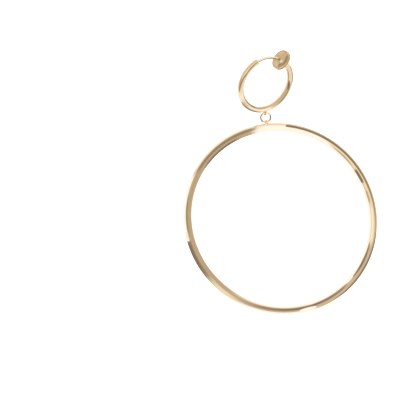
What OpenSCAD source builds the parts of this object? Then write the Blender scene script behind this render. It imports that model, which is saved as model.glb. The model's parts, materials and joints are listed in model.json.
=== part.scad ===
// Clip-on earring: a small sprung clip ring, a jump ring and a large round drop hoop.
// Millimetres, Z up. The hoop hangs in the XZ plane and is seen from the front along +Y.
// The origin is the grip: the middle of the tube's end, where the pad closes on the ear lobe.

/* [Clip ring] */
// Radius of the clip ring, to the middle of its tube
clip_r = 7.35; // [6.5:0.05:9]
// Outer diameter of the clip ring's tube
clip_tube_d = 1.6; // [1.4:0.05:2]
// Bore of the clip ring's tube, in which the post slides
clip_bore_d = 0.75; // [0.7:0.01:0.8]
// Turn of the clip ring about the vertical, away from the hoop's plane, in degrees
clip_turn = 39; // [0:1:45]
// Forward lean of the clip ring, in degrees
clip_lean = 18; // [0:1:20]

/* [Post and pad] */
// Diameter of the sliding post's wire
post_d = 0.65; // [0.5:0.01:0.66]
// Diameter of the pad
pad_d = 5.4; // [4.5:0.1:6]
// Thickness of the pad
pad_t = 1; // [0.6:0.05:1.2]

/* [Jump ring and eyes] */
// Radius of the jump ring, to the middle of its wire
link_r = 1.25; // [1.2:0.05:1.6]
// Diameter of the jump ring's wire
link_wire_d = 0.5; // [0.4:0.05:0.5]
// Diameter of the wire of the two soldered eyes
eye_wire_d = 0.4; // [0.35:0.05:0.45]

/* [Drop hoop] */
// Radius of the drop hoop, to the middle of its tube
hoop_r = 24.5; // [15:0.5:30]
// Diameter of the drop hoop's tube
hoop_tube_d = 2.2; // [1.8:0.1:2.6]

/* [Hidden] */
$fn = 96;

// Angles round the clip ring are counted from its right side upwards, as seen from the front
grip_angle = 47;
mouth_angle = 109.3;
low_angle = 270;
full_turn = 360;
// Closed air gap between the pad and the tube's end, and wire left inside the tube when closed
pad_air = 0.04;
post_hidden = 50;
// Solid length at the tube's gripping end, in degrees of the ring
plug_angle = 17;
// Edge rounding of the pad
pad_round = 0.2;
// Radius of a soldered eye, to the middle of its wire, and the arc of it that is made
eye_r = 0.85;
eye_arc = 270;
// Air between two linked wires, and between the jump ring and the tube that it hangs by
link_air = 0.04;
eye_room = 0.1;
// How far a cutting tool runs past the face that it cuts, in degrees of the ring
cut_over = 1;

// Direction from the clip ring's centre to a point of the ring
function ring_dir(a) = [
    cos(a) * cos(clip_turn) + sin(a) * sin(clip_lean) * sin(clip_turn),
    cos(a) * sin(clip_turn) - sin(a) * sin(clip_lean) * cos(clip_turn),
    sin(a) * cos(clip_lean)
];

clip_centre = -clip_r * ring_dir(grip_angle);
pad_angle = grip_angle + pad_air / clip_r * 180 / PI;
// Distance between the middles of two wires that hang in each other
wire_pitch = (link_wire_d + eye_wire_d) / 2 + link_air;

// Distance from a tube's middle to the middle of the eye that is soldered to it
function eye_out(tube_d) = tube_d / 2 + eye_room + link_wire_d / 2 + wire_pitch - eye_r;

// Everything below the clip ring hangs on one plumb line through its eye
clip_eye = clip_centre + (clip_r + eye_out(clip_tube_d)) * ring_dir(low_angle);
link_centre = clip_eye - [0, 0, eye_r - wire_pitch + link_r];
link_low = link_centre - [0, 0, link_r];
hoop_eye = link_low + [0, 0, wire_pitch - eye_r];
hoop_centre = hoop_eye - [0, 0, eye_out(hoop_tube_d) + hoop_r];
// The jump ring stands halfway between the two rings that it links
link_turn = clip_turn / 2;

// A round bar bent along a circle in the XZ plane, from one angle to another
module bent_bar(r, d, from, to) {
    rotate([90, 0, 0])
        rotate([0, 0, from])
            rotate_extrude(angle = to - from)
                translate([r, 0])
                    circle(d = d);
}

// A whole ring of round bar in the XZ plane
module round_ring(r, d) {
    rotate([90, 0, 0])
        rotate_extrude()
            translate([r, 0])
                circle(d = d);
}

// Puts a shape drawn in the XZ plane where the clip ring leans and turns
module on_clip() {
    translate(clip_centre)
        rotate([clip_lean, 0, clip_turn])
            children();
}

// A soldered eye across a tube, open side down, its middle at the origin
module eye() {
    rotate([0, 0, 90])
        bent_bar(eye_r, eye_wire_d, 90 - eye_arc / 2, 90 + eye_arc / 2);
}

module clip_tube() {
    end_angle = full_turn + grip_angle;
    color("#d9bd92")
        on_clip()
            difference() {
                union() {
                    bent_bar(clip_r, clip_tube_d, mouth_angle, end_angle);
                    translate([0, 0, -clip_r - eye_out(clip_tube_d)])
                        rotate([0, 180, 0])
                            eye();
                }
                bent_bar(clip_r, clip_bore_d, mouth_angle - cut_over, end_angle - plug_angle);
            }
}

// A disc with rounded edges, standing on the XY plane
module pad() {
    rotate_extrude() {
        square([pad_d / 2 - pad_round, pad_t]);
        translate([0, pad_round])
            square([pad_d / 2, pad_t - 2 * pad_round]);
        for (y = [pad_round, pad_t - pad_round])
            translate([pad_d / 2 - pad_round, y])
                circle(r = pad_round);
    }
}

module clip_post() {
    // The wire starts in the middle of the pad
    start_angle = pad_angle + pad_t / 2 / clip_r * 180 / PI;
    color("#d2b384")
        on_clip() {
            bent_bar(clip_r, post_d, start_angle, mouth_angle + post_hidden);
            rotate([0, -pad_angle, 0])
                translate([clip_r, 0, 0])
                    pad();
        }
}

module jump_ring() {
    color("#dcc197")
        translate(link_centre)
            rotate([0, 0, link_turn])
                round_ring(link_r, link_wire_d);
}

module drop_hoop() {
    color("#d9bd92") {
        translate(hoop_centre)
            round_ring(hoop_r, hoop_tube_d);
        translate(hoop_eye)
            eye();
    }
}

clip_tube();
clip_post();
jump_ring();
drop_hoop();
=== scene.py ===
"""Clip-on hoop earring in polished pale gold plate, dressed for its portrait.

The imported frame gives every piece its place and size. Each visible piece is modelled afresh round it, rides
on the body that carries it, and stands for the plain solid there. Names that end in _mm hold millimetres,
names that end in _deg hold degrees, and everything handed to Blender is in metres.
"""
import json
import logging
import math
from collections.abc import Callable, Iterator
from contextlib import contextmanager
from dataclasses import dataclass
from enum import Enum

import bmesh
import bpy
from mathutils import Matrix, Vector


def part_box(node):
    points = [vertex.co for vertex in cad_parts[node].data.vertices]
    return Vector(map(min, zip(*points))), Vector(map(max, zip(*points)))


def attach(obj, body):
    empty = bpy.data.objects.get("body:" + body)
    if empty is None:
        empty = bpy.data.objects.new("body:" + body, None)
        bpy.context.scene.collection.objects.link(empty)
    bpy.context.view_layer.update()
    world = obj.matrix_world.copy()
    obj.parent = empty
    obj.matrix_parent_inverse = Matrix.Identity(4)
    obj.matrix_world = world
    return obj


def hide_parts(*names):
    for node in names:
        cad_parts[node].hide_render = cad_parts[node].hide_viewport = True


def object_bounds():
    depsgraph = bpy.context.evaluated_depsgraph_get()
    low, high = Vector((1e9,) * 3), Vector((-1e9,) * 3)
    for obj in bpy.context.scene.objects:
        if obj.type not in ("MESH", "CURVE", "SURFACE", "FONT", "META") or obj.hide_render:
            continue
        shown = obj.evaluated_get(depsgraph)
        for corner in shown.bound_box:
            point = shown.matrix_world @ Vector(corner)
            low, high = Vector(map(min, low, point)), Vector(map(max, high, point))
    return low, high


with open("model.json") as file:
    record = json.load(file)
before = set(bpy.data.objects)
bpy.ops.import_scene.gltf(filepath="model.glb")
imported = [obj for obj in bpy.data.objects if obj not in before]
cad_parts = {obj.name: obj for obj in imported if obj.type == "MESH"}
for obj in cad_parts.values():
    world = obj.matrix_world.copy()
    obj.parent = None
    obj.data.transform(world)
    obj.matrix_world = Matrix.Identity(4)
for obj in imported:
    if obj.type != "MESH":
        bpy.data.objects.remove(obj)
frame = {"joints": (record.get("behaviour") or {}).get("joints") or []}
CAD_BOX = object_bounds()

LOG = logging.getLogger("earring")
MM = 0.001
UP = Vector((0.0, 0.0, 1.0))
FULL_TURN = 360.0


class Body(Enum):
    """The four bodies that move against each other."""

    CLIP = "clip"
    POST = "post"
    LINK = "link"
    DROP = "drop"


class Slot(Enum):
    """The record's material slots."""

    TUBE = "tube_gold"
    POST = "post_gold"
    LINK = "link_gold"
    HOOP = "hoop_gold"


class Pick(Enum):
    """What edit mode selects: edges or faces."""

    EDGE = "EDGE"
    FACE = "FACE"


def linear_colour(code: str) -> tuple[float, float, float, float]:
    """Turns an sRGB hex code into the linear colour that a shader takes.

    Args:
        code: the colour as "#RRGGBB".

    Returns:
        Linear red, green and blue, with an alpha of one.
    """
    parts = [int(code[i : i + 2], 16) / 255 for i in (1, 3, 5)]
    red, green, blue = (c / 12.92 if c <= 0.04045 else ((c + 0.055) / 1.055) ** 2.4 for c in parts)
    return (red, green, blue, 1.0)


def add_node(
    tree: bpy.types.NodeTree,
    kind: str,
    inputs: dict[str | int, object] | None = None,
    **settings: object,
) -> bpy.types.Node:
    """Adds a node with its settings, and fills or links its sockets.

    Args:
        tree: the node tree to add to.
        kind: the node's Blender type.
        inputs: a value, or the output socket to link from, for each named or numbered input.
        **settings: the node's own properties.

    Returns:
        The new node.
    """
    node = tree.nodes.new(kind)
    for name, value in settings.items():
        setattr(node, name, value)
    for name, value in (inputs or {}).items():
        if isinstance(value, bpy.types.NodeSocket):
            tree.links.new(value, node.inputs[name])
        else:
            node.inputs[name].default_value = value
    return node


def deselect() -> None:
    """Leaves nothing selected, the frame's nodes included."""
    bpy.ops.object.select_all(action="DESELECT")


def choose(piece: bpy.types.Object) -> None:
    """Selects one piece and nothing else.

    Args:
        piece: the piece to work on.
    """
    deselect()
    piece.select_set(True)
    bpy.context.view_layer.objects.active = piece


def bare_material(name: str) -> bpy.types.Material:
    """Makes a material that has no nodes yet.

    Args:
        name: the material's name.

    Returns:
        The new material.
    """
    material = bpy.data.materials.new(name)
    material.use_nodes = True
    material.node_tree.nodes.clear()
    return material


@contextmanager
def editing(piece: bpy.types.Object) -> Iterator[None]:
    """Opens one piece in edit mode for as long as the block lasts.

    Args:
        piece: the piece to shape.
    """
    choose(piece)
    bpy.ops.object.mode_set(mode="EDIT")
    try:
        yield
    finally:
        bpy.ops.object.mode_set(mode="OBJECT")


def pick(piece: bpy.types.Object, kind: Pick, test: Callable[[object], bool]) -> None:
    """Selects the edges or faces of a piece in edit mode that pass a test, and no others.

    Args:
        piece: the piece in edit mode.
        kind: what to select.
        test: says whether one edge or face is wanted.
    """
    bpy.ops.mesh.select_mode(type=kind.value)
    bpy.ops.mesh.select_all(action="DESELECT")
    mesh = bmesh.from_edit_mesh(piece.data)
    for element in mesh.faces if kind is Pick.FACE else mesh.edges:
        element.select_set(test(element))
    mesh.select_flush_mode()
    bmesh.update_edit_mesh(piece.data)


def angle_round(point: Vector) -> float:
    """Angle of a point round the Z axis, in degrees from 0 to 360."""
    return math.degrees(math.atan2(point.y, point.x)) % FULL_TURN


def apply_modifier(piece: bpy.types.Object, kind: str, **settings: object) -> None:
    """Adds a modifier with its settings to a piece and applies it.

    Args:
        piece: the piece to finish.
        kind: the modifier's Blender type.
        **settings: the modifier's own properties.
    """
    modifier = piece.modifiers.new(kind.title(), kind)
    for name, value in settings.items():
        setattr(modifier, name, value)
    choose(piece)
    bpy.ops.object.modifier_apply(modifier=modifier.name)


def settle(piece: bpy.types.Object, place: Matrix) -> None:
    """Moves a piece to its place in the frame, puts that place in its mesh and shades it.

    Args:
        piece: the piece, modelled round the origin.
        place: where it goes.
    """
    smooth_deg = 35.0
    piece.matrix_world = place @ piece.matrix_world
    choose(piece)
    bpy.ops.object.transform_apply(location=True, rotation=True, scale=True)
    bpy.ops.object.shade_smooth_by_angle(angle=math.radians(smooth_deg))


@dataclass(frozen=True)
class Bend:
    """A circle in space that a round bar follows.

    Angles are counted from the circle's level right-hand side, upwards, as its axis points at the viewer.
    """

    centre: Vector
    axis: Vector
    radius_mm: float

    def place(self) -> Matrix:
        """Finds where a ring goes that was modelled flat round the origin, its angle 0 on the X axis.

        Returns:
            The turn and the move that take it there.
        """
        right = UP.cross(self.axis).normalized()
        up = self.axis.cross(right).normalized()
        turn = Matrix((right, up, self.axis.normalized())).transposed().to_4x4()
        return Matrix.Translation(self.centre) @ turn

    def point(self, angle_deg: float) -> Vector:
        """Finds a point of the circle.

        Args:
            angle_deg: its angle round the circle.

        Returns:
            The point, in the frame.
        """
        angle = math.radians(angle_deg)
        flat = Vector((math.cos(angle), math.sin(angle), 0.0)) * self.radius_mm * MM
        return self.place() @ flat


@dataclass(frozen=True)
class RoundBar:
    """Round bar or wire, and how finely its surface is divided."""

    diameter_mm: float
    sides: int
    step_deg: float

    def bend(self, name: str, radius_mm: float, first_deg: float, last_deg: float) -> bpy.types.Object:
        """Bends a length of bar flat round the origin, closed at both ends, or joined up as a whole ring.

        Args:
            name: the piece's name.
            radius_mm: radius of the bend, to the middle of the bar.
            first_deg: angle at which the bar starts.
            last_deg: angle at which it ends.

        Returns:
            The bar, still flat round the origin.
        """
        whole = last_deg - first_deg >= FULL_TURN
        start = math.radians(first_deg)
        deselect()
        bpy.ops.mesh.primitive_circle_add(
            vertices=self.sides,
            radius=self.diameter_mm / 2 * MM,
            fill_type="NOTHING" if whole else "NGON",
            location=Vector((math.cos(start), math.sin(start), 0.0)) * radius_mm * MM,
            rotation=(math.pi / 2, 0.0, start),
        )
        bar = bpy.context.object
        bar.name = name
        bpy.ops.object.transform_apply(location=True, rotation=True, scale=False)
        with editing(bar):
            bpy.ops.mesh.select_all(action="SELECT")
            spin_round(last_deg - first_deg, self.step_deg)
            close_up()
        return bar


def spin_round(angle_deg: float, step_deg: float) -> None:
    """Carries what is selected in edit mode round the Z axis, leaving a wall behind it.

    Args:
        angle_deg: how far it goes, anticlockwise from above.
        step_deg: about how far apart the rings of the wall are.
    """
    # The operator counts its angle clockwise round its axis
    bpy.ops.mesh.spin(
        steps=max(1, round(abs(angle_deg) / step_deg)),
        angle=-math.radians(angle_deg),
        center=(0.0, 0.0, 0.0),
        axis=(0.0, 0.0, 1.0),
    )


def close_up() -> None:
    """Merges the seams of the mesh in edit mode, and turns all its faces outwards."""
    merge_mm = 0.001
    bpy.ops.mesh.select_all(action="SELECT")
    bpy.ops.mesh.remove_doubles(threshold=merge_mm * MM)
    bpy.ops.mesh.normals_make_consistent(inside=False)


def round_edges(
    piece: bpy.types.Object, test: Callable[[object], bool], width_mm: float, segments: int
) -> None:
    """Rounds the edges of a piece in edit mode that pass a test, with some segments across the rounding."""
    pick(piece, Pick.EDGE, test)
    bpy.ops.mesh.bevel(offset=width_mm * MM, segments=segments, affect="EDGES", clamp_overlap=True)


@dataclass(frozen=True)
class PolishedPlate:
    """Polished brass under bright pale gold plate.

    Wire and tube are tumbled to a mirror, then plated. The plate keeps the tumbling's soft waves, which
    break the reflections up along the bar, and it is a little thinner, paler and duller in places. Real
    polishing lines are some hundredths of a millimetre apart. They are drawn coarser, so that they show.
    """

    name: str
    plate: str = "#F3D9B4"
    thin_plate: str = "#F5DFC0"
    mirror: float = 0.05
    dull: float = 0.14
    dull_from: float = 0.35
    dull_to: float = 0.7
    cloud_mm: float = 7.0
    wave_mm: float = 1.6
    wave_depth_mm: float = 0.004
    hairline_mm: float = 0.09
    hairline_depth_mm: float = 0.00025

    def material(self) -> bpy.types.Material:
        """Makes the plate's material.

        Returns:
            A metal whose colour, gloss and surface vary in the piece's own millimetres.
        """
        material = bare_material(self.name)
        tree = material.node_tree
        place = add_node(tree, "ShaderNodeTexCoord").outputs["Object"]

        clouds, waves, lines = (
            add_node(
                tree,
                "ShaderNodeTexNoise",
                {"Vector": place, "Scale": 1 / (size_mm * MM), "Detail": detail, "Roughness": roughness},
            ).outputs["Fac"]
            for size_mm, detail, roughness in (
                (self.cloud_mm, 3.0, 0.55),
                (self.wave_mm, 2.0, 0.5),
                (self.hairline_mm, 4.0, 0.7),
            )
        )
        colour = add_node(
            tree,
            "ShaderNodeMix",
            {0: clouds, 6: linear_colour(self.plate), 7: linear_colour(self.thin_plate)},
            data_type="RGBA",
        )
        gloss = add_node(
            tree,
            "ShaderNodeMapRange",
            {
                "Value": clouds,
                "From Min": self.dull_from,
                "From Max": self.dull_to,
                "To Min": self.mirror,
                "To Max": self.dull,
            },
            interpolation_type="SMOOTHSTEP",
        )
        soft = add_node(
            tree,
            "ShaderNodeBump",
            {"Height": waves, "Distance": self.wave_depth_mm * MM, "Strength": 1.0},
        )
        fine = add_node(
            tree,
            "ShaderNodeBump",
            {
                "Height": lines,
                "Distance": self.hairline_depth_mm * MM,
                "Strength": 1.0,
                "Normal": soft.outputs["Normal"],
            },
        )
        metal = add_node(
            tree,
            "ShaderNodeBsdfPrincipled",
            {
                "Base Color": colour.outputs[2],
                "Metallic": 1.0,
                "Roughness": gloss.outputs["Result"],
                "Normal": fine.outputs["Normal"],
            },
        )
        add_node(tree, "ShaderNodeOutputMaterial", {"Surface": metal.outputs["BSDF"]})
        return material


@dataclass
class SubAssembly:
    """What each sub-assembly has: the body that carries it, its slot and its finish."""

    body: Body
    slot: Slot
    finish: PolishedPlate

    def dress(self, pieces: list[bpy.types.Object], node: str) -> None:
        """Gives the pieces their finish and their body, and hides the frame's node that they stand for.

        Args:
            pieces: the sub-assembly's pieces, in place.
            node: the frame's node that they stand for.
        """
        material = self.finish.material()
        for piece in pieces:
            piece.data.materials.clear()
            piece.data.materials.append(material)
            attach(piece, self.body.value)
            LOG.info("%s: %d faces, on %s", piece.name, len(piece.data.polygons), self.body.value)
        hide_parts(node)


@dataclass(frozen=True)
class SolderedEye:
    """A small eye of round wire bent across a tube and soldered to it at both its feet."""

    radius_mm: float = 0.85
    wire: RoundBar = RoundBar(diameter_mm=0.4, sides=24, step_deg=5.0)
    arc_deg: float = 270.0
    sleeve_slack_mm: float = 0.12
    solder_grain_mm: float = 0.045
    solder_rounds: int = 14

    def build(self, name: str, centre: Vector, out: Vector, across: Vector) -> bpy.types.Object:
        """Bends the eye and sets it on its tube.

        Args:
            name: the piece's name.
            centre: middle of the eye.
            out: direction away from the tube.
            across: direction across the tube.

        Returns:
            The eye, in place.
        """
        top_deg = 90.0
        eye = self.wire.bend(name, self.radius_mm, top_deg - self.arc_deg / 2, top_deg + self.arc_deg / 2)
        side = across.normalized()
        away = out.normalized()
        turn = Matrix((side, away, side.cross(away))).transposed().to_4x4()
        settle(eye, Matrix.Translation(centre) @ turn)
        return eye

    def solder(
        self, name: str, eye: bpy.types.Object, bar: RoundBar, bend: Bend, stretch_deg: tuple[float, float]
    ) -> bpy.types.Object:
        """Melts the eye and a sleeve of the tube under it into one lump.

        Its inner corners fill as solder does, and the rest of it shrinks out of sight.

        Args:
            name: the piece's name.
            eye: the eye, in place.
            bar: the tube that the eye stands on.
            bend: the circle that the tube follows.
            stretch_deg: the first and the last angle of the sleeve.

        Returns:
            The solder, which shows only in the corners between the eye and the tube.
        """
        thin = RoundBar(bar.diameter_mm - self.sleeve_slack_mm, bar.sides, bar.step_deg)
        lump = thin.bend(name, bend.radius_mm, *stretch_deg)
        settle(lump, bend.place())
        copy = eye.copy()
        copy.data = eye.data.copy()
        bpy.context.scene.collection.objects.link(copy)
        copy.select_set(True)
        bpy.ops.object.join()
        apply_modifier(lump, "REMESH", mode="VOXEL", voxel_size=self.solder_grain_mm * MM)
        apply_modifier(lump, "SMOOTH", factor=0.5, iterations=self.solder_rounds)
        settle(lump, Matrix.Identity(4))
        return lump


@dataclass
class DropHoop(SubAssembly):
    """The large round hoop of tube, with the eye that it hangs by."""

    body: Body = Body.DROP
    slot: Slot = Slot.HOOP
    finish: PolishedPlate = PolishedPlate("polished_gold_plated_hoop_tube")
    sides: int = 48
    step_deg: float = 0.75
    eye: SolderedEye = SolderedEye()
    sleeve_deg: tuple[float, float] = (86.0, 94.0)

    def bar(self) -> RoundBar:
        """The hoop's tube, as thick as the frame has it."""
        low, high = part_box("drop_hoop")
        return RoundBar((high.y - low.y) / MM, self.sides, self.step_deg)

    def bend(self) -> Bend:
        """Finds the circle of the hoop.

        Returns:
            The circle, its axis towards the front.
        """
        low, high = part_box("drop_hoop")
        outer_mm = (high.x - low.x) / MM / 2
        middle = (low + high) / 2
        centre = Vector((middle.x, middle.y, low.z + outer_mm * MM))
        return Bend(centre, Vector((0.0, -1.0, 0.0)), outer_mm - self.bar().diameter_mm / 2)

    def build(self) -> None:
        """Models the hoop, its eye and its solder, where the frame has them."""
        bend = self.bend()
        bar = self.bar()
        tube = bar.bend("hoop_tube", bend.radius_mm, 0.0, FULL_TURN)
        settle(tube, bend.place())

        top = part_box("drop_hoop")[1].z
        eye_top_mm = self.eye.radius_mm + self.eye.wire.diameter_mm / 2
        eye_centre = Vector((bend.centre.x, bend.centre.y, top - eye_top_mm * MM))
        eye = self.eye.build("hoop_eye", eye_centre, UP, bend.axis)
        solder = self.eye.solder("hoop_solder", eye, bar, bend, self.sleeve_deg)
        self.dress([tube, eye, solder], "drop_hoop")


@dataclass
class ClipRing(SubAssembly):
    """The clip ring: a bent tube with an open mouth, a solid gripping end and an eye soldered under it."""

    body: Body = Body.CLIP
    slot: Slot = Slot.TUBE
    finish: PolishedPlate = PolishedPlate("polished_gold_plated_clip_tube")
    tube: RoundBar = RoundBar(diameter_mm=1.6, sides=48, step_deg=1.25)
    bore_mm: float = 0.75
    grip_deg: float = 47.0
    mouth_deg: float = 109.3
    plug_deg: float = 17.0
    lip_mm: float = 0.13
    bore_lip_mm: float = 0.07
    eye: SolderedEye = SolderedEye()
    low_deg: float = 270.0
    sleeve_deg: tuple[float, float] = (260.0, 280.0)

    def bend(self) -> Bend:
        """Finds the circle of the clip ring.

        Returns:
            The circle, through the grip at the origin and round the post's hinge.
        """
        hinge = joint("post_slide")
        centre = Vector(hinge["pos_m"])
        return Bend(centre, Vector(hinge["axis"]).normalized(), centre.length / MM)

    def tube_piece(self, bend: Bend) -> bpy.types.Object:
        """Bends the tube, sinks its bore from the mouth and rounds its ends.

        Args:
            bend: the circle of the clip ring.

        Returns:
            The tube, in place.
        """
        end_deg = FULL_TURN + self.grip_deg
        tube = self.tube.bend("clip_tube_wall", bend.radius_mm, self.mouth_deg, end_deg)
        near_deg = 0.2
        half_turn = FULL_TURN / 2
        wall_middle_mm = (self.tube.diameter_mm + self.bore_mm) / 4

        def at(
            angle_deg: float, least_mm: float = 0.0, most_mm: float = math.inf
        ) -> Callable[[object], bool]:
            """A test for what lies on the bar's end at an angle, between two distances from its middle."""
            return lambda element: all(
                abs((angle_round(v.co) - angle_deg + half_turn) % FULL_TURN - half_turn) < near_deg
                and least_mm < off_middle(v.co, bend.radius_mm) < most_mm
                for v in element.verts
            )

        with editing(tube):
            pick(tube, Pick.FACE, at(self.mouth_deg))
            bpy.ops.mesh.inset(thickness=(self.tube.diameter_mm - self.bore_mm) / 2 * MM)
            spin_round(end_deg - self.plug_deg - self.mouth_deg, self.tube.step_deg)
            close_up()
            for rim_deg in (self.mouth_deg, self.grip_deg):
                round_edges(tube, at(rim_deg, least_mm=wall_middle_mm), self.lip_mm, segments=4)
            round_edges(tube, at(self.mouth_deg, most_mm=wall_middle_mm), self.bore_lip_mm, segments=3)
        settle(tube, bend.place())
        return tube

    def build(self) -> None:
        """Models the tube, its eye and its solder, where the frame has them."""
        bend = self.bend()
        tube = self.tube_piece(bend)
        eye_low = Vector(joint("link_swing")["pos_m"])
        out = bend.point(self.low_deg) - bend.centre
        eye = self.eye.build("clip_eye", eye_low + UP * self.eye.radius_mm * MM, out, bend.axis)
        solder = self.eye.solder("clip_solder", eye, self.tube, bend, self.sleeve_deg)
        self.dress([tube, eye, solder], "clip_tube")


def off_middle(point: Vector, ring_mm: float) -> float:
    """How far a point is, in mm, from the middle line of a bar that is bent flat round the origin."""
    middle = Vector((point.x, point.y, 0.0)).normalized() * ring_mm * MM
    return (point - middle).length / MM


def joint(name: str) -> dict:
    """The frame's joint of that name."""
    return next(j for j in frame["joints"] if j["name"] == name)


@dataclass
class ClipPost(SubAssembly):
    """The sprung post: a curved wire that slides in the tube, and the round pad soldered on its tip."""

    body: Body = Body.POST
    slot: Slot = Slot.POST
    finish: PolishedPlate = PolishedPlate(
        "polished_gold_plated_post_and_pad",
        plate="#EFD2A8",
        thin_plate="#F2D9B4",
        mirror=0.1,
        dull=0.22,
    )
    wire: RoundBar = RoundBar(diameter_mm=0.65, sides=32, step_deg=1.25)
    hidden_deg: float = 50.0
    pad_mm: float = 5.4
    pad_thick_mm: float = 1.0
    pad_gap_mm: float = 0.04
    pad_edge_mm: float = 0.2
    pad_sides: int = 96
    face_rings: int = 9
    fillet_mm: float = 0.3

    def pad(self, place: Matrix) -> bpy.types.Object:
        """Turns the pad: a thick disc with rounded rims, and a fillet of solder round the wire's foot.

        Args:
            place: where the disc's gripping face goes, its axis along the post.

        Returns:
            The pad, in place.
        """
        deselect()
        bpy.ops.mesh.primitive_cylinder_add(
            vertices=self.pad_sides,
            radius=self.pad_mm / 2 * MM,
            depth=self.pad_thick_mm * MM,
            location=(0.0, 0.0, self.pad_thick_mm / 2 * MM),
        )
        disc = bpy.context.object
        disc.name = "post_pad"
        bpy.ops.object.transform_apply(location=True, rotation=False, scale=False)
        rim_mm = self.pad_mm / 2
        foot_mm = self.wire.diameter_mm / 2 + self.fillet_mm
        step_mm = (rim_mm - self.pad_edge_mm - foot_mm) / self.face_rings
        level = 0.99
        # How far each step of the fillet narrows and rises, as shares of the fillet's width
        foot_steps = ((0.495, 0.05), (0.33, 0.10), (0.165, 0.25))
        with editing(disc):
            round_edges(disc, lambda e: on_rim(e, rim_mm), self.pad_edge_mm, segments=5)
            for side in (1.0, -1.0):
                pick(disc, Pick.FACE, lambda f: f.normal.z * side > level)
                for _ in range(self.face_rings):
                    bpy.ops.mesh.inset(thickness=step_mm * MM)
            pick(disc, Pick.FACE, lambda f: f.normal.z > level and len(f.verts) == self.pad_sides)
            for narrowing, rise in foot_steps:
                next_mm = foot_mm - self.fillet_mm * narrowing
                lift = (0.0, 0.0, rise * self.fillet_mm * MM)
                bpy.ops.mesh.extrude_region_move(TRANSFORM_OT_translate={"value": lift})
                bpy.ops.transform.resize(value=(next_mm / foot_mm, next_mm / foot_mm, 1.0))
                foot_mm = next_mm
            close_up()
        settle(disc, place)
        return disc

    def pad_deg(self, bend: Bend) -> float:
        """The angle of the clip ring at which the pad's gripping face stands."""
        return ClipRing().grip_deg + math.degrees(self.pad_gap_mm / bend.radius_mm)

    def pad_rim_line(self, bend: Bend) -> Bend:
        """The circle of the rim of the pad's open face, from whose middle the wire goes on.

        Args:
            bend: the circle of the clip ring.

        Returns:
            The rim, its axis away from the pad.
        """
        grip = bend.point(self.pad_deg(bend))
        along = bend.axis.cross(grip - bend.centre).normalized()
        return Bend(grip + along * self.pad_thick_mm * MM, along, self.pad_mm / 2)

    def build(self) -> None:
        """Models the wire and the pad, where the frame has them."""
        ring = ClipRing()
        bend = ring.bend()
        pad_deg = self.pad_deg(bend)
        inside_deg = math.degrees(self.pad_thick_mm / 2 / bend.radius_mm)
        wire = self.wire.bend(
            "post_wire", bend.radius_mm, pad_deg + inside_deg, ring.mouth_deg + self.hidden_deg
        )
        settle(wire, bend.place())
        turn = Matrix.Rotation(math.radians(pad_deg), 4, "Z")
        out = Matrix.Translation((bend.radius_mm * MM, 0.0, 0.0))
        stand = Matrix.Rotation(-math.pi / 2, 4, "X")
        pad = self.pad(bend.place() @ turn @ out @ stand)
        self.dress([pad, wire], "clip_post")


def on_rim(edge: object, radius_mm: float) -> bool:
    """Tells the edges of a flat round rim from the others.

    Args:
        edge: the edge to test.
        radius_mm: radius of the rim, round the Z axis.

    Returns:
        Whether the edge is level and both its ends lie on the rim.
    """
    slack = 0.001 * MM
    first, last = (v.co for v in edge.verts)
    level = abs(first.z - last.z) < slack
    return level and all(abs(end.xy.length - radius_mm * MM) < slack for end in (first, last))


@dataclass
class JumpRing(SubAssembly):
    """The jump ring: a turn of round wire, pressed shut, with a hair of a seam where its ends meet."""

    body: Body = Body.LINK
    slot: Slot = Slot.LINK
    finish: PolishedPlate = PolishedPlate("polished_gold_plated_jump_ring_wire")
    wire: RoundBar = RoundBar(diameter_mm=0.5, sides=32, step_deg=3.0)
    seam_deg: float = 196.0
    seam_mm: float = 0.03
    end_mm: float = 0.04

    def bend(self) -> Bend:
        """Finds the circle of the jump ring.

        Returns:
            The circle, as the frame has it.
        """
        low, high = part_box("jump_ring")
        axis = Vector(joint("link_swing")["axis"]).normalized()
        return Bend((low + high) / 2, axis, ((high.z - low.z) / MM - self.wire.diameter_mm) / 2)

    def build(self) -> None:
        """Models the ring, where the frame has it."""
        bend = self.bend()
        radius_mm = bend.radius_mm
        half_deg = math.degrees(self.seam_mm / radius_mm) / 2
        ring = self.wire.bend(
            "jump_ring_wire", radius_mm, self.seam_deg + half_deg, self.seam_deg + FULL_TURN - half_deg
        )
        with editing(ring):
            # Only the two ends of the wire have faces with more than four corners
            round_edges(
                ring, lambda e: any(len(f.verts) > 4 for f in e.link_faces), self.end_mm, segments=3
            )
        settle(ring, bend.place())
        self.dress([ring], "jump_ring")


@dataclass(frozen=True)
class Softbox:
    """A square soft light that looks at the earring."""

    name: str
    azimuth_deg: float
    elevation_deg: float
    distance_mm: float
    brightness: float
    size_mm: float = 400.0

    def build(self, target: Vector) -> None:
        """Hangs the light, seen in reflections but not by the camera.

        Args:
            target: what the light looks at.
        """
        toward = direction(self.azimuth_deg, self.elevation_deg)
        light = bpy.data.lights.new(self.name, "AREA")
        light.shape = "SQUARE"
        light.size = self.size_mm * MM
        # An area light of one watt a square metre has a brightness of a quarter
        light.energy = self.brightness * 4 * light.size**2
        lamp = bpy.data.objects.new(self.name, light)
        lamp.location = target + toward * self.distance_mm * MM
        lamp.rotation_mode = "QUATERNION"
        lamp.rotation_quaternion = toward.to_track_quat("Z", "Y")
        lamp.visible_camera = False
        bpy.context.scene.collection.objects.link(lamp)


def direction(azimuth_deg: float, elevation_deg: float) -> Vector:
    """Finds the direction from the earring to something.

    Args:
        azimuth_deg: its azimuth, counted from the front towards the right.
        elevation_deg: its height above the level.

    Returns:
        The direction, of length one.
    """
    turn = math.radians(azimuth_deg)
    lift = math.radians(elevation_deg)
    return Vector((math.sin(turn) * math.cos(lift), -math.cos(turn) * math.cos(lift), math.sin(lift)))


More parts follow.
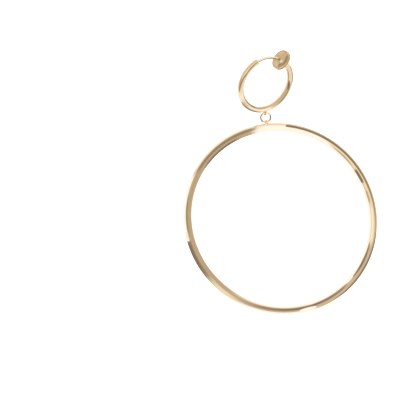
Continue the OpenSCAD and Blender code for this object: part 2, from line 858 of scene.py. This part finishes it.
class Glow(Enum):
    """How bright a card is seen in the gold, from the colour and the strength of its glow. Bright glows paint
    highlights, dim ones paint dark streaks in the reflections.
    """

    WHITE = ("#D5DBF0", 1.85)
    BRIGHT = ("#DDE9FF", 1.62)
    CREAM = ("#F2F6FF", 1.22)
    PEACH = ("#FFFDF5", 0.95)
    GOLD = ("#FFF8EB", 0.8)
    TAN = ("#FFF8EE", 0.67)
    BROWN = ("#FFF6E7", 0.55)
    OLIVE = ("#FFF3E2", 0.34)
    DARK = ("#FFF6EC", 0.25)
    BLACK = ("#FFF6EC", 0.1)


# A surface's point, and the direction it faces, at an angle along it and a place from -1 to 1 across it
Surface = Callable[[float, float], tuple[Vector, Vector]]


def tube_surface(ring: Bend, tube_mm: float, view: Vector) -> Surface:
    """The side of a ring of tube that the camera sees.

    Args:
        ring: the middle line of the tube.
        tube_mm: diameter of the tube.
        view: direction from the earring to the camera.

    Returns:
        A surface whose angle runs round the ring, from its inner edge at -1 to its outer edge at 1.
    """

    def spot(angle_deg: float, place: float) -> tuple[Vector, Vector]:
        """Finds one point of the side that the camera sees.

        Args:
            angle_deg: the angle round the ring.
            place: the place across it.

        Returns:
            The point, and the direction that the surface faces there.
        """
        # Further out the tube is seen too edge-on to mirror a card
        widest = 0.985
        place = max(-widest, min(widest, place))
        middle = ring.point(angle_deg)
        out = (middle - ring.centre).normalized()
        along = ring.axis.cross(out).normalized()
        facing = (view - along * view.dot(along)).normalized()
        side = (out - facing * out.dot(facing)).normalized()
        normal = side * place + facing * math.sqrt(1 - place**2)
        return middle + normal * tube_mm / 2 * MM, normal

    return spot


def pad_face(pad: Bend) -> Surface:
    """The face of the pad: its angle runs round the pad's middle, -1 is that middle and 1 is the rim."""
    return lambda angle_deg, place: (
        pad.centre + (pad.point(angle_deg) - pad.centre) * (place + 1) / 2,
        pad.axis,
    )


def pad_rim(pad: Bend, thick_mm: float) -> Surface:
    """The rim of the pad: its angle runs round the pad, -1 is at its face and 1 at its back."""
    return lambda angle_deg, place: (
        pad.point(angle_deg) - pad.axis * thick_mm * (place + 1) / 2 * MM,
        (pad.point(angle_deg) - pad.centre).normalized(),
    )


@dataclass(frozen=True)
class PaintedStreakCard:
    """A small glowing card that the camera sees mirrored in the gold, as one painted streak of reflection
    along a surface: a painted highlight where it glows bright and a painted dark streak where it glows dim.

    The streak runs between two angles and between two places across, as the surface counts them. A pointed
    streak narrows to its ends, and a drifting one shifts across from its first end to its last.
    """

    name: str
    first_deg: float
    last_deg: float
    inner: float
    outer: float
    glow: Glow
    pointed: bool = False
    drift: float = 0.0
    soft: float = 0.3
    soft_deg: tuple[float, float] = (1.5, 1.5)
    step_deg: float = 2.5
    least_steps: int = 24
    steps_across: int = 30

    def build(self, surface: Surface, view: Vector, reach_mm: float) -> None:
        """Shapes the card and stands it where the surface mirrors it to the camera.

        Args:
            surface: what mirrors the card.
            view: direction from the earring to the camera.
            reach_mm: how far it stands from the surface.
        """
        length_deg = self.last_deg - self.first_deg
        along = max(self.least_steps, round(length_deg / self.step_deg))
        deselect()
        bpy.ops.mesh.primitive_grid_add(x_subdivisions=along, y_subdivisions=self.steps_across, size=2.0)
        card = bpy.context.object
        card.name = self.name
        with editing(card):
            mesh = bmesh.from_edit_mesh(card.data)
            # Painted reflection: each point of the card goes where the camera's sight, mirrored off the
            # surface, meets it
            for vert in mesh.verts:
                point, normal = surface(*self.spot(vert.co.x, vert.co.y))
                onward = normal * 2 * normal.dot(view) - view
                vert.co = point + onward * reach_mm * MM
            bmesh.update_edit_mesh(card.data)
        card.data.materials.append(self.material())
        for ray in ("camera", "diffuse", "shadow", "transmission", "volume_scatter"):
            setattr(card, f"visible_{ray}", False)

    def spot(self, length: float, width: float) -> tuple[float, float]:
        """The angle and the place across that one point of the card is mirrored at.

        Args:
            length: place along the card, from -1 to 1.
            width: place across the card, from -1 to 1.

        Returns:
            The angle in degrees, and the place across.
        """
        half = (self.outer - self.inner) / 2 / (1 - self.soft)
        tip = 0.02
        fullness = 0.6
        if self.pointed:
            half *= max(tip, math.cos(length * math.pi / 2)) ** fullness
        angle_deg = self.first_deg + (self.last_deg - self.first_deg) * (length + 1) / 2
        return angle_deg, (self.outer + self.inner) / 2 + half * width + self.drift * length / 2

    def material(self) -> bpy.types.Material:
        """Makes the card's material: an even glow, which paints its streak of reflection.

        Returns:
            A light whose edges fade out, and that shines only on the metal.
        """
        material = bare_material(f"{self.name}_card")
        tree = material.node_tree
        place = add_node(tree, "ShaderNodeUVMap").outputs["UV"]
        split = add_node(tree, "ShaderNodeSeparateXYZ", {"Vector": place})
        glow = add_node(
            tree,
            "ShaderNodeEmission",
            {"Color": linear_colour(self.glow.value[0]), "Strength": self.glow.value[1]},
        )
        clear = add_node(tree, "ShaderNodeBsdfTransparent")
        length_deg = self.last_deg - self.first_deg
        last = add_node(tree, "ShaderNodeMath", {0: 1.0, 1: split.outputs["X"]}, operation="SUBTRACT")
        side = add_node(tree, "ShaderNodeMath", {0: split.outputs["Y"], 1: 0.5}, operation="PINGPONG")
        least_soft = 1e-4
        share = None
        for inward, soft in (
            (split.outputs["X"], self.soft_deg[0] / length_deg),
            (last.outputs[0], self.soft_deg[1] / length_deg),
            (side.outputs[0], self.soft),
        ):
            fade = add_node(
                tree,
                "ShaderNodeMapRange",
                {"Value": inward, "From Min": 0.0, "From Max": max(least_soft, soft)},
                interpolation_type="SMOOTHSTEP",
            ).outputs["Result"]
            if share is not None:
                both = {0: share, 1: fade}
                fade = add_node(tree, "ShaderNodeMath", both, operation="MULTIPLY").outputs[0]
            share = fade
        # Only the side towards the metal glows, so the pieces round it don't mirror the card's back
        back = add_node(tree, "ShaderNodeNewGeometry").outputs["Backfacing"]
        lit = add_node(
            tree, "ShaderNodeMath", {0: share, 1: back}, operation="SUBTRACT", use_clamp=True
        )
        mixed = add_node(
            tree,
            "ShaderNodeMixShader",
            {0: lit.outputs[0], 1: clear.outputs["BSDF"], 2: glow.outputs["Emission"]},
        )
        add_node(tree, "ShaderNodeOutputMaterial", {"Surface": mixed.outputs["Shader"]})
        return material


def hoop_cards() -> list[PaintedStreakCard]:
    """Lists the glowing cards that paint the streaks of reflection along the hoop: painted highlights and
    painted dark lines.

    Returns:
        The cards, the hindmost first.
    """
    white, bright, cream, peach = Glow.WHITE, Glow.BRIGHT, Glow.CREAM, Glow.PEACH
    tan, brown, olive, dark = Glow.TAN, Glow.BROWN, Glow.OLIVE, Glow.DARK
    return [
        PaintedStreakCard("hoop_base", 0, 360, -0.97, 0.97, tan, soft_deg=(0, 0)),
        PaintedStreakCard("rim_right", 217, 443, -1.15, -0.46, white, soft_deg=(14, 1.5)),
        PaintedStreakCard("rim_left", 142, 191, 0.3, 1.15, white, soft_deg=(8, 2)),
        PaintedStreakCard("rim_top_left", 96, 148, 0.6, 1.1, cream, soft_deg=(2, 8)),
        PaintedStreakCard("rim_low_left", 222, 290, 0.45, 1.2, bright, soft_deg=(12, 10)),
        PaintedStreakCard("body_left", 96, 246, -0.88, 0.3, brown, soft_deg=(1, 20)),
        PaintedStreakCard("body_low_right", 283, 346, -0.42, 0.6, tan, soft_deg=(4, 10)),
        PaintedStreakCard("body_top_right", 402, 443, -0.6, 0.2, white, soft=0.4, soft_deg=(10, 1)),
        PaintedStreakCard("body_right", 336, 414, -0.3, 0.5, peach, soft_deg=(8, 12)),
        PaintedStreakCard("body_low_left", 208, 246, 0.02, 0.95, peach, soft_deg=(8, 16)),
        PaintedStreakCard("body_low", 226, 283, -0.5, 0.4, brown, soft=0.45, soft_deg=(16, 4)),
        PaintedStreakCard("light_right", 336, 366, -0.4, 0.15, cream, soft=0.4, soft_deg=(8, 5)),
        PaintedStreakCard("line_low_right", 296, 348, 0.56, 0.98, dark, pointed=True),
        PaintedStreakCard("patch_right_1", 4.5, 14.5, -0.5, -0.08, brown, soft_deg=(3, 3)),
        PaintedStreakCard("patch_right_2", 17.5, 28.5, -0.55, 0.05, dark, soft_deg=(2, 2)),
        PaintedStreakCard("patch_right_3", 30.5, 46.5, -0.45, -0.1, brown, pointed=True),
        PaintedStreakCard("flash_top_edge", 77.5, 97, 0.3, 0.97, peach, soft_deg=(0.3, 2)),
        PaintedStreakCard("flash_top", 74, 102, -0.97, 0.45, white, soft=0.15, soft_deg=(6, 8)),
        PaintedStreakCard("line_right", 326, 438.5, 0.34, 0.74, olive, drift=-0.16, soft_deg=(56, 0.8)),
        PaintedStreakCard("line_top_right", 376, 438.5, 0.3, 0.68, dark, drift=-0.16, soft_deg=(30, 0.8)),
        PaintedStreakCard("band_top_left", 92, 146, -0.08, 0.45, olive, soft=0.4, soft_deg=(10, 8)),
        PaintedStreakCard("line_top_left", 107, 141, -1.3, -0.55, dark, soft_deg=(6, 8)),
        PaintedStreakCard("line_left", 158, 187, 0.02, 0.36, olive, pointed=True),
        PaintedStreakCard("band_low_left", 187, 222, 0.1, 1.2, olive, soft=0.1, soft_deg=(1.5, 16)),
        PaintedStreakCard("line_low_left", 188, 214, 0.4, 1.3, dark, pointed=True, drift=0.4),
        PaintedStreakCard("flash_left", 181.5, 187.5, 0.3, 0.98, cream),
        PaintedStreakCard("line_low", 240, 312, -0.38, 0.1, olive, soft=0.4, soft_deg=(14, 8)),
        PaintedStreakCard("line_low_dark", 258, 300, -0.3, 0.05, dark, pointed=True),
        PaintedStreakCard("flash_low", 274, 286, 0, 0.8, white, pointed=True),
        PaintedStreakCard("flash_low_right", 308, 317, -0.85, -0.25, white, pointed=True),
        PaintedStreakCard("patch_low_right", 315, 341, -0.5, 0, olive, pointed=True),
        PaintedStreakCard("patch_low_right_dark", 318, 334, -0.42, -0.1, dark, pointed=True),
    ]


def clip_cards() -> list[PaintedStreakCard]:
    """Lists the glowing cards that paint the streaks of reflection along the clip ring: painted highlights
    and painted dark lines.

    Returns:
        The cards, the hindmost first.
    """
    cream, peach, gold = Glow.CREAM, Glow.PEACH, Glow.GOLD
    tan, brown, olive, dark = Glow.TAN, Glow.BROWN, Glow.OLIVE, Glow.DARK
    return [
        PaintedStreakCard("clip_body_left", 102, 200, -0.97, 0.97, peach, soft_deg=(2, 20)),
        PaintedStreakCard("clip_body_right", 274, 396, -0.97, 0.97, peach, soft_deg=(14, 2)),
        PaintedStreakCard("clip_body_low", 176, 292, -0.97, 0.97, cream, soft_deg=(20, 14)),
        PaintedStreakCard("clip_gold_low", 198, 230, -0.3, 0.6, gold, soft=0.5, soft_deg=(12, 12)),
        PaintedStreakCard("clip_rim_left", 106, 184, 0.3, 0.62, tan, soft=0.4, soft_deg=(4, 10)),
        PaintedStreakCard("clip_band_left", 150, 180, 0.25, 0.7, brown, pointed=True),
        PaintedStreakCard("clip_line_mouth", 106, 150, -0.48, -0.1, olive, pointed=True, drift=-0.35),
        PaintedStreakCard("clip_line_left", 134, 184, -0.25, 0.2, olive, pointed=True, drift=0.9),
        PaintedStreakCard("clip_line_low_inside", 176, 246, -1.2, -0.6, olive, pointed=True, drift=0.45),
        PaintedStreakCard("clip_line_low_outside", 204, 266, 0.45, 1.25, olive, pointed=True, drift=0.4),
        PaintedStreakCard("clip_line_low", 226, 300, -0.65, -0.1, brown, pointed=True, drift=0.1),
        PaintedStreakCard("clip_band_right", 276, 356, -0.5, 0.5, tan, soft=0.4, soft_deg=(14, 10)),
        PaintedStreakCard("clip_line_right_outside", 294, 348, 0.26, 0.68, olive, pointed=True, drift=-0.2),
        PaintedStreakCard("clip_line_right_inside", 296, 348, -0.55, -0.12, brown, pointed=True),
        PaintedStreakCard("clip_patch_right", 334, 358, -0.45, 0.35, dark, pointed=True, drift=-0.5),
        PaintedStreakCard("clip_line_rim", 344, 388, 0.68, 0.985, olive, soft=0.2, soft_deg=(12, 2)),
        PaintedStreakCard("clip_line_top_right", 348, 388, -0.7, -0.25, brown, pointed=True),
    ]


def link_cards() -> list[PaintedStreakCard]:
    """Lists the cards beside the jump ring, which paint darker reflections on the outside of its left and
    right.

    Returns:
        The cards, the hindmost first.
    """
    turn = (25.0, 25.0)
    return [
        PaintedStreakCard("link_shade_left", 118, 238, 0, 1.3, Glow.DARK, soft=0.4, soft_deg=turn),
        PaintedStreakCard("link_shade_right", 302, 412, 0.1, 1.3, Glow.OLIVE, soft=0.4, soft_deg=turn),
        PaintedStreakCard("link_spot_right", 345, 378, -0.3, 1.1, Glow.BLACK, soft_deg=(10, 10)),
    ]


def wire_cards() -> list[PaintedStreakCard]:
    """Lists the glowing cards before the post's wire, which paint its reflection: a bright body, brown edges
    and a painted dark line under its root.

    Returns:
        The cards, the hindmost first.
    """
    ends = (3.0, 2.0)
    return [
        PaintedStreakCard("wire_edges", 60, 112, -0.985, 0.985, Glow.OLIVE, soft=0.02, soft_deg=ends),
        PaintedStreakCard("wire_body", 60, 112, -0.4, 0.95, Glow.CREAM, soft_deg=ends),
        PaintedStreakCard("wire_line_low", 58, 88, -1.1, -0.25, Glow.DARK, soft_deg=(2, 10)),
    ]


def pad_face_cards() -> list[PaintedStreakCard]:
    """Lists the glowing cards before the pad's face, which paint its reflection: tan, darker round its rim
    and at its right, with two spots.

    Returns:
        The cards, the hindmost first.
    """
    whole = (0.0, 0.0)
    turn = (30.0, 30.0)
    return [
        PaintedStreakCard("face_body", 0, 360, -1, 1.3, Glow.TAN, soft=0, soft_deg=whole),
        PaintedStreakCard("face_light_top", 60, 150, 0, 0.8, Glow.GOLD, soft=0.5, soft_deg=turn),
        PaintedStreakCard("face_light_low", 190, 290, -0.3, 0.7, Glow.GOLD, soft=0.5, soft_deg=turn),
        PaintedStreakCard("face_edge", 0, 360, 0.72, 1.5, Glow.BROWN, soft=0.3, soft_deg=whole),
        PaintedStreakCard("face_dark", 300, 400, 0.35, 1.3, Glow.OLIVE, soft=0.3, soft_deg=turn),
        PaintedStreakCard("face_spot_dark", 272, 318, -0.1, 0.7, Glow.OLIVE, pointed=True, soft=0.5),
        PaintedStreakCard("face_spot_light", 290, 350, -0.5, -0.1, Glow.CREAM, soft=0.4, soft_deg=(15, 15)),
    ]


def pad_rim_cards() -> list[PaintedStreakCard]:
    """The one glowing card before the pad's rim, which paints its brown reflection."""
    return [PaintedStreakCard("pad_rim_body", 0, 360, -1.2, 1.2, Glow.BROWN, soft=0, soft_deg=(0, 0))]


@dataclass(frozen=True)
class Studio:
    """White paper sweep, soft lights and a long lens at the photograph's viewing angle."""

    floor_drop_mm: float = 55.0
    sweep_back_mm: float = 2200.0
    sweep_front_mm: float = 1500.0
    sweep_width_mm: float = 5000.0
    sweep_height_mm: float = 2200.0
    sweep_round_mm: float = 900.0
    paper: str = "#F6F5F3"
    near_glow: float = 0.3
    far_glow: float = 0.55
    glow_from_mm: float = 30.0
    glow_to_mm: float = 140.0
    room_low: str = "#F3E6D2"
    room_high: str = "#FFFDF8"
    low_brightness: float = 0.3
    high_brightness: float = 0.75
    room_from: float = 0.05
    room_to: float = 0.6
    azimuth_deg: float = 12.42
    elevation_deg: float = 12.07
    roll_deg: float = -8.14
    aim_x_mm: float = -26.87
    aim_z_mm: float = -34.55
    distance_mm: float = 2000.0
    picture_width_mm: float = 104.14
    sensor_mm: float = 36.0
    sight_mm: float = 100000.0
    hoop_reach_mm: float = 1.3
    clip_reach_mm: float = 1.7
    link_reach_mm: float = 0.4
    wire_reach_mm: float = 0.7
    face_reach_mm: float = 0.6
    rim_reach_mm: float = 0.8
    card_gap_mm: float = 0.03

    def sweep(self) -> None:
        """Lays the paper: a floor that curves up behind the earring."""
        floor_z = CAD_BOX[0].z - self.floor_drop_mm * MM
        depth_mm = self.sweep_back_mm + self.sweep_front_mm
        middle_y = (self.sweep_back_mm - self.sweep_front_mm) / 2 * MM
        deselect()
        bpy.ops.mesh.primitive_plane_add(size=1.0, location=(0.0, middle_y, floor_z))
        paper = bpy.context.object
        paper.name = "paper_sweep"
        paper.scale = (self.sweep_width_mm * MM, depth_mm * MM, 1.0)
        bpy.ops.object.transform_apply(location=True, rotation=False, scale=True)
        back_y = self.sweep_back_mm * MM
        with editing(paper):
            pick(paper, Pick.EDGE, lambda e: all(abs(v.co.y - back_y) < MM for v in e.verts))
            lift = (0.0, 0.0, self.sweep_height_mm * MM)
            bpy.ops.mesh.extrude_region_move(TRANSFORM_OT_translate={"value": lift})
            round_edges(
                paper,
                lambda e: all(abs(v.co.y - back_y) < MM and abs(v.co.z - floor_z) < MM for v in e.verts),
                self.sweep_round_mm,
                segments=24,
            )
        bpy.ops.object.shade_smooth()
        paper.data.materials.append(self.paper_material())

    def paper_material(self) -> bpy.types.Material:
        """Makes matt white background paper with painted light: it glows, more further back, so that it burns
        out to white behind the earring.

        Returns:
            The paper's material.
        """
        material = bare_material("matt_white_paper")
        tree = material.node_tree
        place = add_node(tree, "ShaderNodeTexCoord").outputs["Object"]
        across = add_node(tree, "ShaderNodeSeparateXYZ", {"Vector": place})
        # Painted light: the paper's own glow rises from near the earring to far behind it
        glow = add_node(
            tree,
            "ShaderNodeMapRange",
            {
                "Value": across.outputs["Y"],
                "From Min": self.glow_from_mm * MM,
                "From Max": self.glow_to_mm * MM,
                "To Min": self.near_glow,
                "To Max": self.far_glow,
            },
            interpolation_type="SMOOTHSTEP",
        )
        paper = add_node(
            tree,
            "ShaderNodeBsdfPrincipled",
            {
                "Base Color": linear_colour(self.paper),
                "Roughness": 0.9,
                "Emission Strength": glow.outputs["Result"],
            },
        )
        add_node(tree, "ShaderNodeOutputMaterial", {"Surface": paper.outputs["BSDF"]})
        return material

    def surroundings(self) -> None:
        """Fills the room round the sweep with soft light that comes from above more than from the sides."""
        world = bpy.data.worlds.new("studio_room")
        world.use_nodes = True
        tree = world.node_tree
        tree.nodes.clear()
        place = add_node(tree, "ShaderNodeTexCoord").outputs["Generated"]
        height = add_node(tree, "ShaderNodeSeparateXYZ", {"Vector": place}).outputs["Z"]
        lift = add_node(
            tree,
            "ShaderNodeMapRange",
            {"Value": height, "From Min": self.room_from, "From Max": self.room_to},
            interpolation_type="SMOOTHSTEP",
        ).outputs["Result"]
        low, high = (
            add_node(tree, "ShaderNodeBackground", {"Color": linear_colour(colour), "Strength": strength})
            for colour, strength in (
                (self.room_low, self.low_brightness),
                (self.room_high, self.high_brightness),
            )
        )
        light = add_node(
            tree,
            "ShaderNodeMixShader",
            {0: lift, 1: low.outputs["Background"], 2: high.outputs["Background"]},
        )
        add_node(tree, "ShaderNodeOutputWorld", {"Surface": light.outputs["Shader"]})
        bpy.context.scene.world = world

    def camera(self) -> None:
        """Sets up the camera, turned and tilted as the photograph was taken."""
        roll = math.radians(self.roll_deg)
        back = direction(self.azimuth_deg, self.elevation_deg)
        level = UP.cross(back).normalized()
        over = back.cross(level)
        right = level * math.cos(roll) + over * math.sin(roll)
        up = back.cross(right)
        lens = bpy.data.cameras.new("long_lens")
        lens.sensor_width = self.sensor_mm
        lens.lens = self.sensor_mm * self.distance_mm / self.picture_width_mm
        lens.clip_end = self.sight_mm * MM
        body = bpy.data.objects.new("camera", lens)
        aim = Vector((self.aim_x_mm, 0.0, self.aim_z_mm)) * MM
        place = Matrix((right, up, back)).transposed().to_4x4()
        place.translation = aim + back * self.distance_mm * MM
        body.matrix_world = place
        bpy.context.scene.collection.objects.link(body)
        bpy.context.scene.camera = body

    def cards(self) -> None:
        """Stands the dim and bright glowing cards that paint the streaks of reflection along the metal."""
        view = direction(self.azimuth_deg, self.elevation_deg)
        hoop, clip, link, post = DropHoop(), ClipRing(), JumpRing(), ClipPost()
        ring = clip.bend()
        pad = post.pad_rim_line(ring)
        for cards, surface, reach_mm in (
            (hoop_cards(), tube_surface(hoop.bend(), hoop.bar().diameter_mm, view), self.hoop_reach_mm),
            (clip_cards(), tube_surface(ring, clip.tube.diameter_mm, view), self.clip_reach_mm),
            (link_cards(), tube_surface(link.bend(), link.wire.diameter_mm, view), self.link_reach_mm),
            (wire_cards(), tube_surface(ring, post.wire.diameter_mm, view), self.wire_reach_mm),
            (pad_face_cards(), pad_face(pad), self.face_reach_mm),
            (pad_rim_cards(), pad_rim(pad, post.pad_thick_mm), self.rim_reach_mm),
        ):
            for order, card in enumerate(cards):
                card.build(surface, view, reach_mm - order * self.card_gap_mm)

    def build(self) -> None:
        """Lays the sweep, stands the cards, hangs the lights and sets up the camera."""
        self.sweep()
        self.surroundings()
        self.cards()
        middle = (CAD_BOX[0] + CAD_BOX[1]) / 2
        for softbox in (
            Softbox(
                "softbox_above", azimuth_deg=150.0, elevation_deg=75.0, distance_mm=900.0, brightness=1.6
            ),
            Softbox(
                "softbox_left", azimuth_deg=-75.0, elevation_deg=12.0, distance_mm=800.0, brightness=1.5
            ),
        ):
            softbox.build(middle)
        self.camera()
        view = bpy.context.scene.view_settings
        view.view_transform = "Standard"
        view.look = "None"


def main() -> None:
    """Builds the earring's sub-assemblies in order, then the studio."""
    logging.basicConfig(level=logging.INFO, format="%(name)s: %(message)s")
    for assembly in (ClipRing(), ClipPost(), JumpRing(), DropHoop()):
        assembly.build()
        LOG.info("%s is done", type(assembly).__name__)
    Studio().build()


if __name__ == "__main__":
    main()
